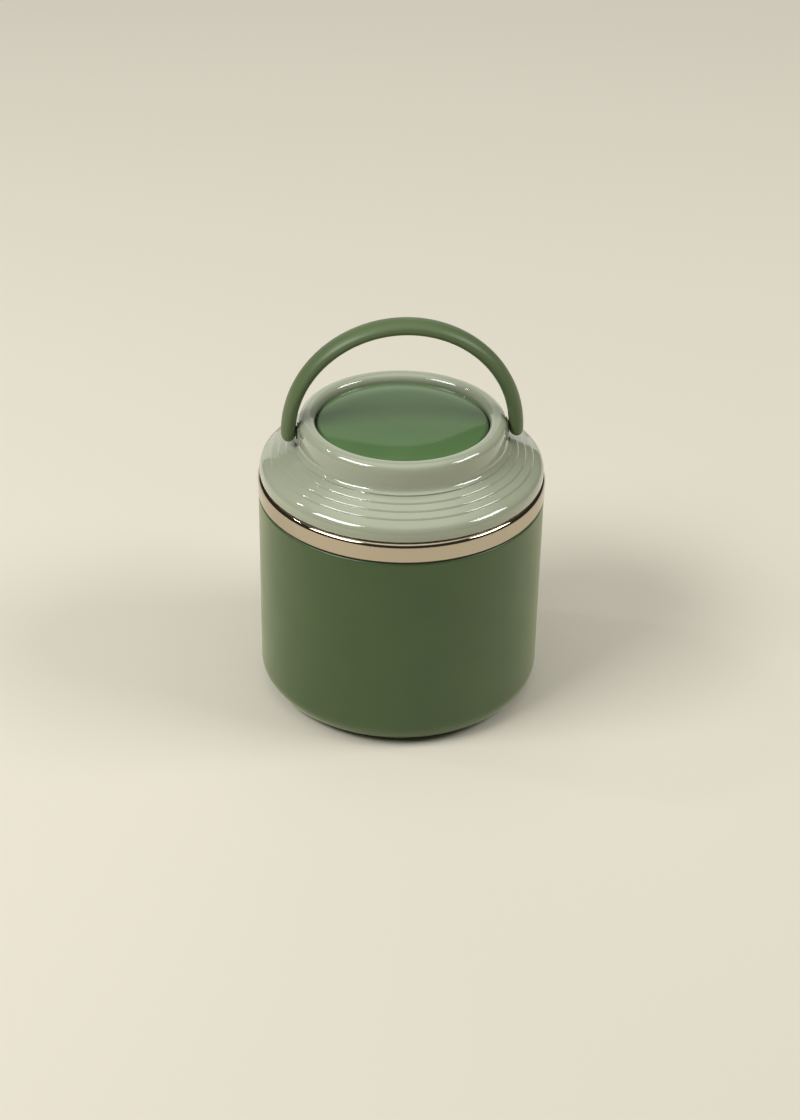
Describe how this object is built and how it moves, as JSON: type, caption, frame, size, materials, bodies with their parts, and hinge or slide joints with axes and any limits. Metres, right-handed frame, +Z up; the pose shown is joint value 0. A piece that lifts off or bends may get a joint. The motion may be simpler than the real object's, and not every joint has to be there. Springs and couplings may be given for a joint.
{
  "type": "insulated food jar",
  "caption": "Double-walled steel food jar in a moulded casing, with a stepped screw lid, a press-to-vent disc and a swinging carrying handle.",
  "frame": {"origin": "on the floor at the centre of the jar's foot ring", "axes": "+Z up along the jar's axis, X along the handle's pivot axis, the front faces -Y"},
  "size_m": [0.11, 0.11, 0.1556],
  "materials": {
    "casing_green": "satin moulded",
    "lid_sage": "gloss moulded",
    "disc_green": "gloss moulded",
    "handle_green": "fine matte",
    "polished_steel": "polished stainless steel",
    "satin_steel": "turned satin",
    "pin_steel": "turned",
    "spring_steel": "drawn wire and sheet",
    "solder": "dull cast",
    "natural_plastic": "natural moulded",
    "clear_silicone": "translucent silicone",
    "dark_silicone": "matte silicone",
    "foot_rubber": "matte silicone",
    "washer_black": "smooth moulded",
    "foam": "closed-cell foam"
  },
  "bodies": {
    "jar": {"outer_shell": "casing_green", "foot_ring": "foot_rubber", "base_pad": "foam", "outer_can": "polished_steel", "inner_cup": "satin_steel", "can_base": "satin_steel", "vacuum_seal": "solder", "getter": "solder", "rim_gasket": "dark_silicone"},
    "seal_carrier": {"lid_seal": "clear_silicone"},
    "lid": {"lid_cover": "lid_sage", "lid_inner": "natural_plastic", "lid_insulation": "foam", "vent_spring": "spring_steel"},
    "vent_button": {"top_disc": "disc_green", "vent_stem": "natural_plastic", "vent_valve": "clear_silicone", "vent_clip": "spring_steel"},
    "carry_handle": {"handle": "handle_green", "pivot_pins": "pin_steel", "pin_washers": "washer_black", "pin_clips": "spring_steel"}
  },
  "joints": [
    {"name": "lid_rise", "type": "slide", "parent": "jar", "child": "seal_carrier", "axis": [0, 0, 1], "range_m": [0, 0.032]},
    {"name": "lid_turn", "type": "hinge", "parent": "seal_carrier", "child": "lid", "pos_m": [0, 0, 0.0936], "axis": [0, 0, 1], "range_deg": [0, 720]},
    {"name": "vent_press", "type": "slide", "parent": "lid", "child": "vent_button", "axis": [0, 0, -1], "range_m": [0, 0.002], "stiffness_N_per_m": 400, "springref_m": -0.002, "deforming": ["vent_spring"]},
    {"name": "handle_swing", "type": "hinge", "parent": "lid", "child": "carry_handle", "pos_m": [0, 0, 0.1096], "axis": [1, 0, 0], "range_deg": [-90, 90]}
  ],
  "couplings": [
    {"joint": "lid_rise", "follows": "lid_turn", "m_per_rad": 0.0025465}
  ]
}
